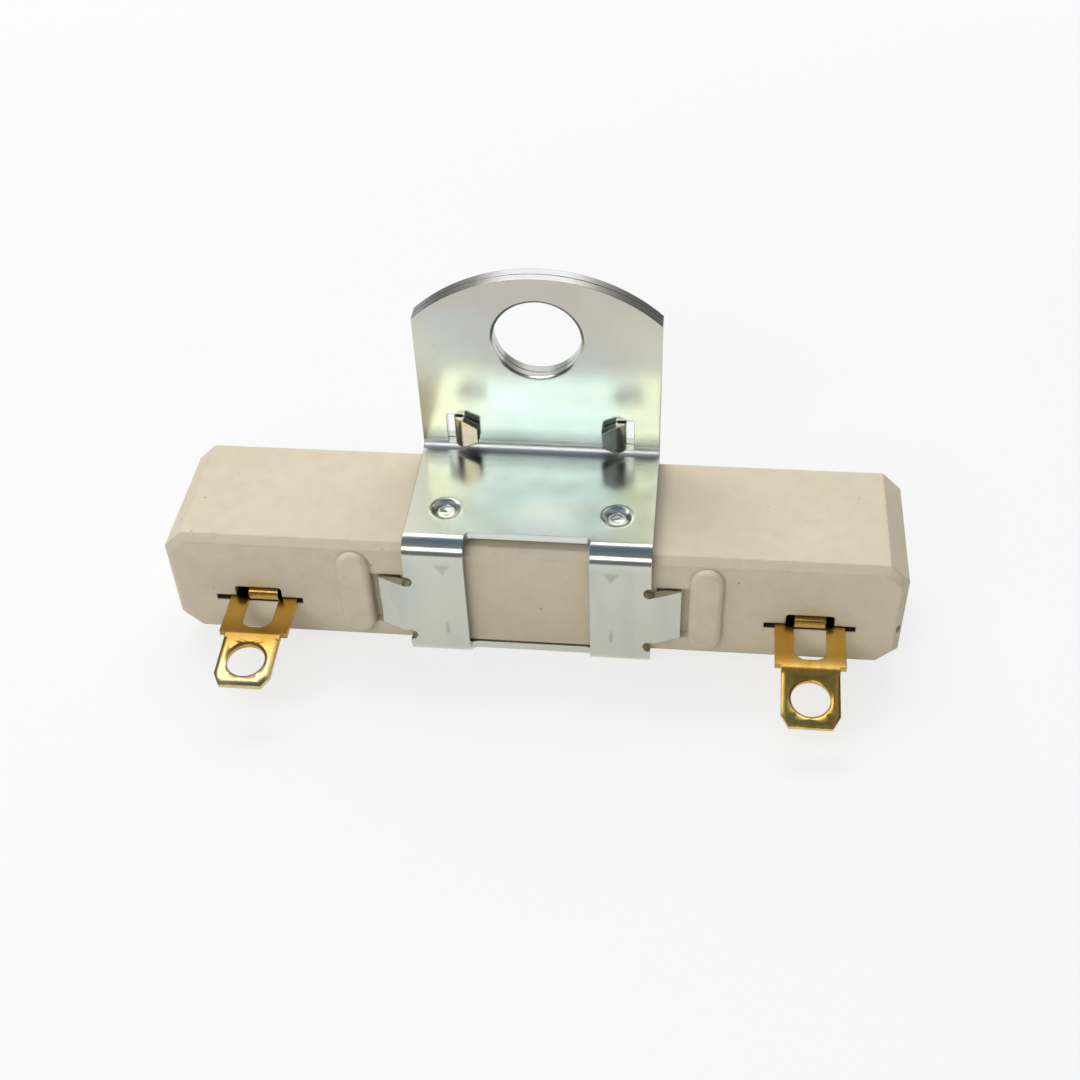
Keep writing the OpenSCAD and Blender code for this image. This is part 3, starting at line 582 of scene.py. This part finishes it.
# Pale floor that looks white to the camera and in reflections and keeps the shadow
def make_floor(level):
    mesh = bpy.data.meshes.new("floor")
    signs = ((-1, -1), (1, -1), (1, 1), (-1, 1))
    corners = [(x * FLOOR_HALF, y * FLOOR_HALF, level) for x, y in signs]
    mesh.from_pydata(corners, [], [(0, 1, 2, 3)])
    floor = bpy.data.objects.new("floor", mesh)
    scene.collection.objects.link(floor)
    mat = bpy.data.materials.new("pale_floor")
    mat.use_nodes = True
    mat.node_tree.nodes.clear()
    g = Graph(mat.node_tree)
    rays = g.add("ShaderNodeLightPath").outputs
    seen = g.calc("MAXIMUM", rays["Is Camera Ray"], rays["Is Glossy Ray"])
    seen = g.calc("MAXIMUM", seen, rays["Is Transmission Ray"])
    paint = g.add("ShaderNodeBsdfDiffuse", {"Color": FLOOR_PAINT})
    white = g.add("ShaderNodeEmission", {"Color": WHITE, "Strength": 1.0})
    where = g.add("ShaderNodeTexCoord").outputs["Object"]
    away = g.vector("LENGTH", {0: where}, "Value")
    share = g.product(seen, g.ramp(away, FLOOR_FADE, FLOOR_WHITE))
    both = g.add("ShaderNodeMixShader", {0: share, 1: paint.outputs[0], 2: white.outputs[0]})
    g.add("ShaderNodeOutputMaterial", {"Surface": both.outputs[0]})
    mesh.materials.append(mat)


# Softbox, or a fill that lights the surfaces but leaves no reflection of itself
def make_lamp(name, azimuth, elevation, distance, size, power, mirrored=True):
    data = bpy.data.lights.new(name, "AREA")
    data.shape = "RECTANGLE"
    data.size, data.size_y = size
    data.energy = power
    lamp = bpy.data.objects.new(name, data)
    scene.collection.objects.link(lamp)
    lamp.visible_glossy = mirrored
    a, e = math.radians(azimuth), math.radians(elevation)
    back = Vector((math.sin(a) * math.cos(e), -math.cos(a) * math.cos(e), math.sin(e)))
    lamp.location = LAMP_TARGET + back * distance
    lamp.rotation_mode = "QUATERNION"
    lamp.rotation_quaternion = (-back).to_track_quat("-Z", "Y")


# Dim room round the softboxes: darker overhead, at the sides and in front, white to the camera
def make_world():
    world = bpy.data.worlds.new("room")
    scene.world = world
    world.use_nodes = True
    world.node_tree.nodes.clear()
    g = Graph(world.node_tree)
    where = g.add("ShaderNodeTexCoord").outputs["Generated"]
    x, y, _ = g.add("ShaderNodeSeparateXYZ", {0: where}).outputs
    wall = g.mix(g.ramp(y, ROOM_DEPTH), ROOM_FRONT, ROOM_BACK)
    left = g.ramp(x, ROOM_LEFT, ROOM_LEFT_SHARE)
    right = g.ramp(x, ROOM_RIGHT, ROOM_RIGHT_SHARE)
    wall = g.tint(wall, ROOM_SIDES, g.calc("MAXIMUM", left, right))
    above = g.vector("DOT_PRODUCT", {0: where, 1: ROOM_ZENITH}, "Value")
    colour = g.tint(wall, ROOM_ABOVE, g.ramp(above, ROOM_ZENITH_EDGE))
    room = g.add("ShaderNodeBackground", {"Color": colour, "Strength": 1.0})
    white = g.add("ShaderNodeBackground", {"Color": WHITE, "Strength": 1.0})
    camera_ray = g.add("ShaderNodeLightPath").outputs["Is Camera Ray"]
    both = g.add("ShaderNodeMixShader", {0: camera_ray, 1: room.outputs[0], 2: white.outputs[0]})
    g.add("ShaderNodeOutputWorld", {"Surface": both.outputs[0]})


def make_lamps():
    make_lamp("front_box", azimuth=-14, elevation=35.5, distance=0.6, size=(0.38, 0.15), power=0.64)
    make_lamp("back_box", azimuth=200, elevation=60, distance=0.6, size=(0.8, 0.18), power=0.85)
    make_lamp("back_fill", azimuth=200, elevation=58, distance=0.9, size=(0.8, 0.6), power=3.0,
              mirrored=False)
    make_lamp("front_fill", azimuth=-32, elevation=42, distance=0.9, size=(0.8, 0.6), power=1.62,
              mirrored=False)


def dress():
    group = smooth_group()
    ceramic, steel = ceramic_material(), steel_material()
    brass, wire = brass_material(), wire_material()
    for name, mat in (("ceramic_body", ceramic), ("mounting_bracket", steel),
                      ("left_terminal", brass), ("right_terminal", brass)):
        put_material(nodes[name], mat)
        soften(nodes[name], group)
    make_coil(wire)


make_camera()
make_floor(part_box("mounting_bracket")[0].z)
make_world()
make_lamps()
dress()
scene.view_settings.view_transform = "Standard"
